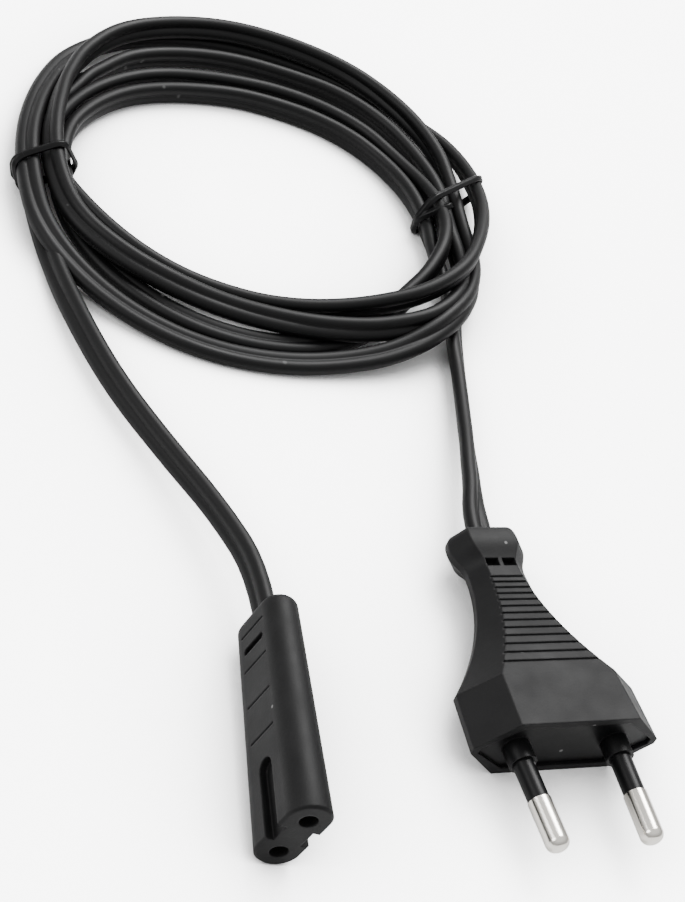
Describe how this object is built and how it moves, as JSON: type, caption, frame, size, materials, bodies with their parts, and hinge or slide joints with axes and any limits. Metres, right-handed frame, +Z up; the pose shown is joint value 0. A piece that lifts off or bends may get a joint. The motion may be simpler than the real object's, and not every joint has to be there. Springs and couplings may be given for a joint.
{
  "type": "figure-eight mains lead",
  "caption": "Mains lead with a figure-eight appliance connector, a coiled flat twin cord and a flat two-pin plug.",
  "frame": {"origin": "on the floor under the middle of the connector", "axes": "+Y from the connector's mouth to its cord, +Z up, the connector standing on edge as it lies in the picture"},
  "size_m": [0.1103, 0.2223, 0.016],
  "materials": {
    "moulding": "fine-grained flexible PVC",
    "cord_sheath": "satin PVC sheath",
    "bridge": "hard moulding",
    "sleeve": "smooth sleeve",
    "carrier": "hard moulding",
    "tie": "coated wire tie",
    "pin_metal": "nickel-plated",
    "contact_metal": "formed brass",
    "copper": "stranded copper",
    "core_brown": "brown core",
    "core_blue": "blue core"
  },
  "bodies": {
    "root": {"connector_body": "moulding", "contact_carrier": "carrier", "contact_lower": "contact_metal", "contact_upper": "contact_metal", "connector_core_lower": "core_brown", "connector_core_upper": "core_blue", "connector_conductor_lower": "copper", "connector_conductor_upper": "copper", "plug_body": "moulding", "pin_bridge": "bridge", "pin_left": "pin_metal", "pin_right": "pin_metal", "pin_sleeve_left": "sleeve", "pin_sleeve_right": "sleeve", "plug_core_left": "core_brown", "plug_core_right": "core_blue", "plug_conductor_left": "copper", "plug_conductor_right": "copper", "cord_tail_connector": "cord_sheath", "cord_coil": "cord_sheath", "cord_tail_plug": "cord_sheath", "tie_left": "tie", "tie_right": "tie"}
  },
  "joints": []
}
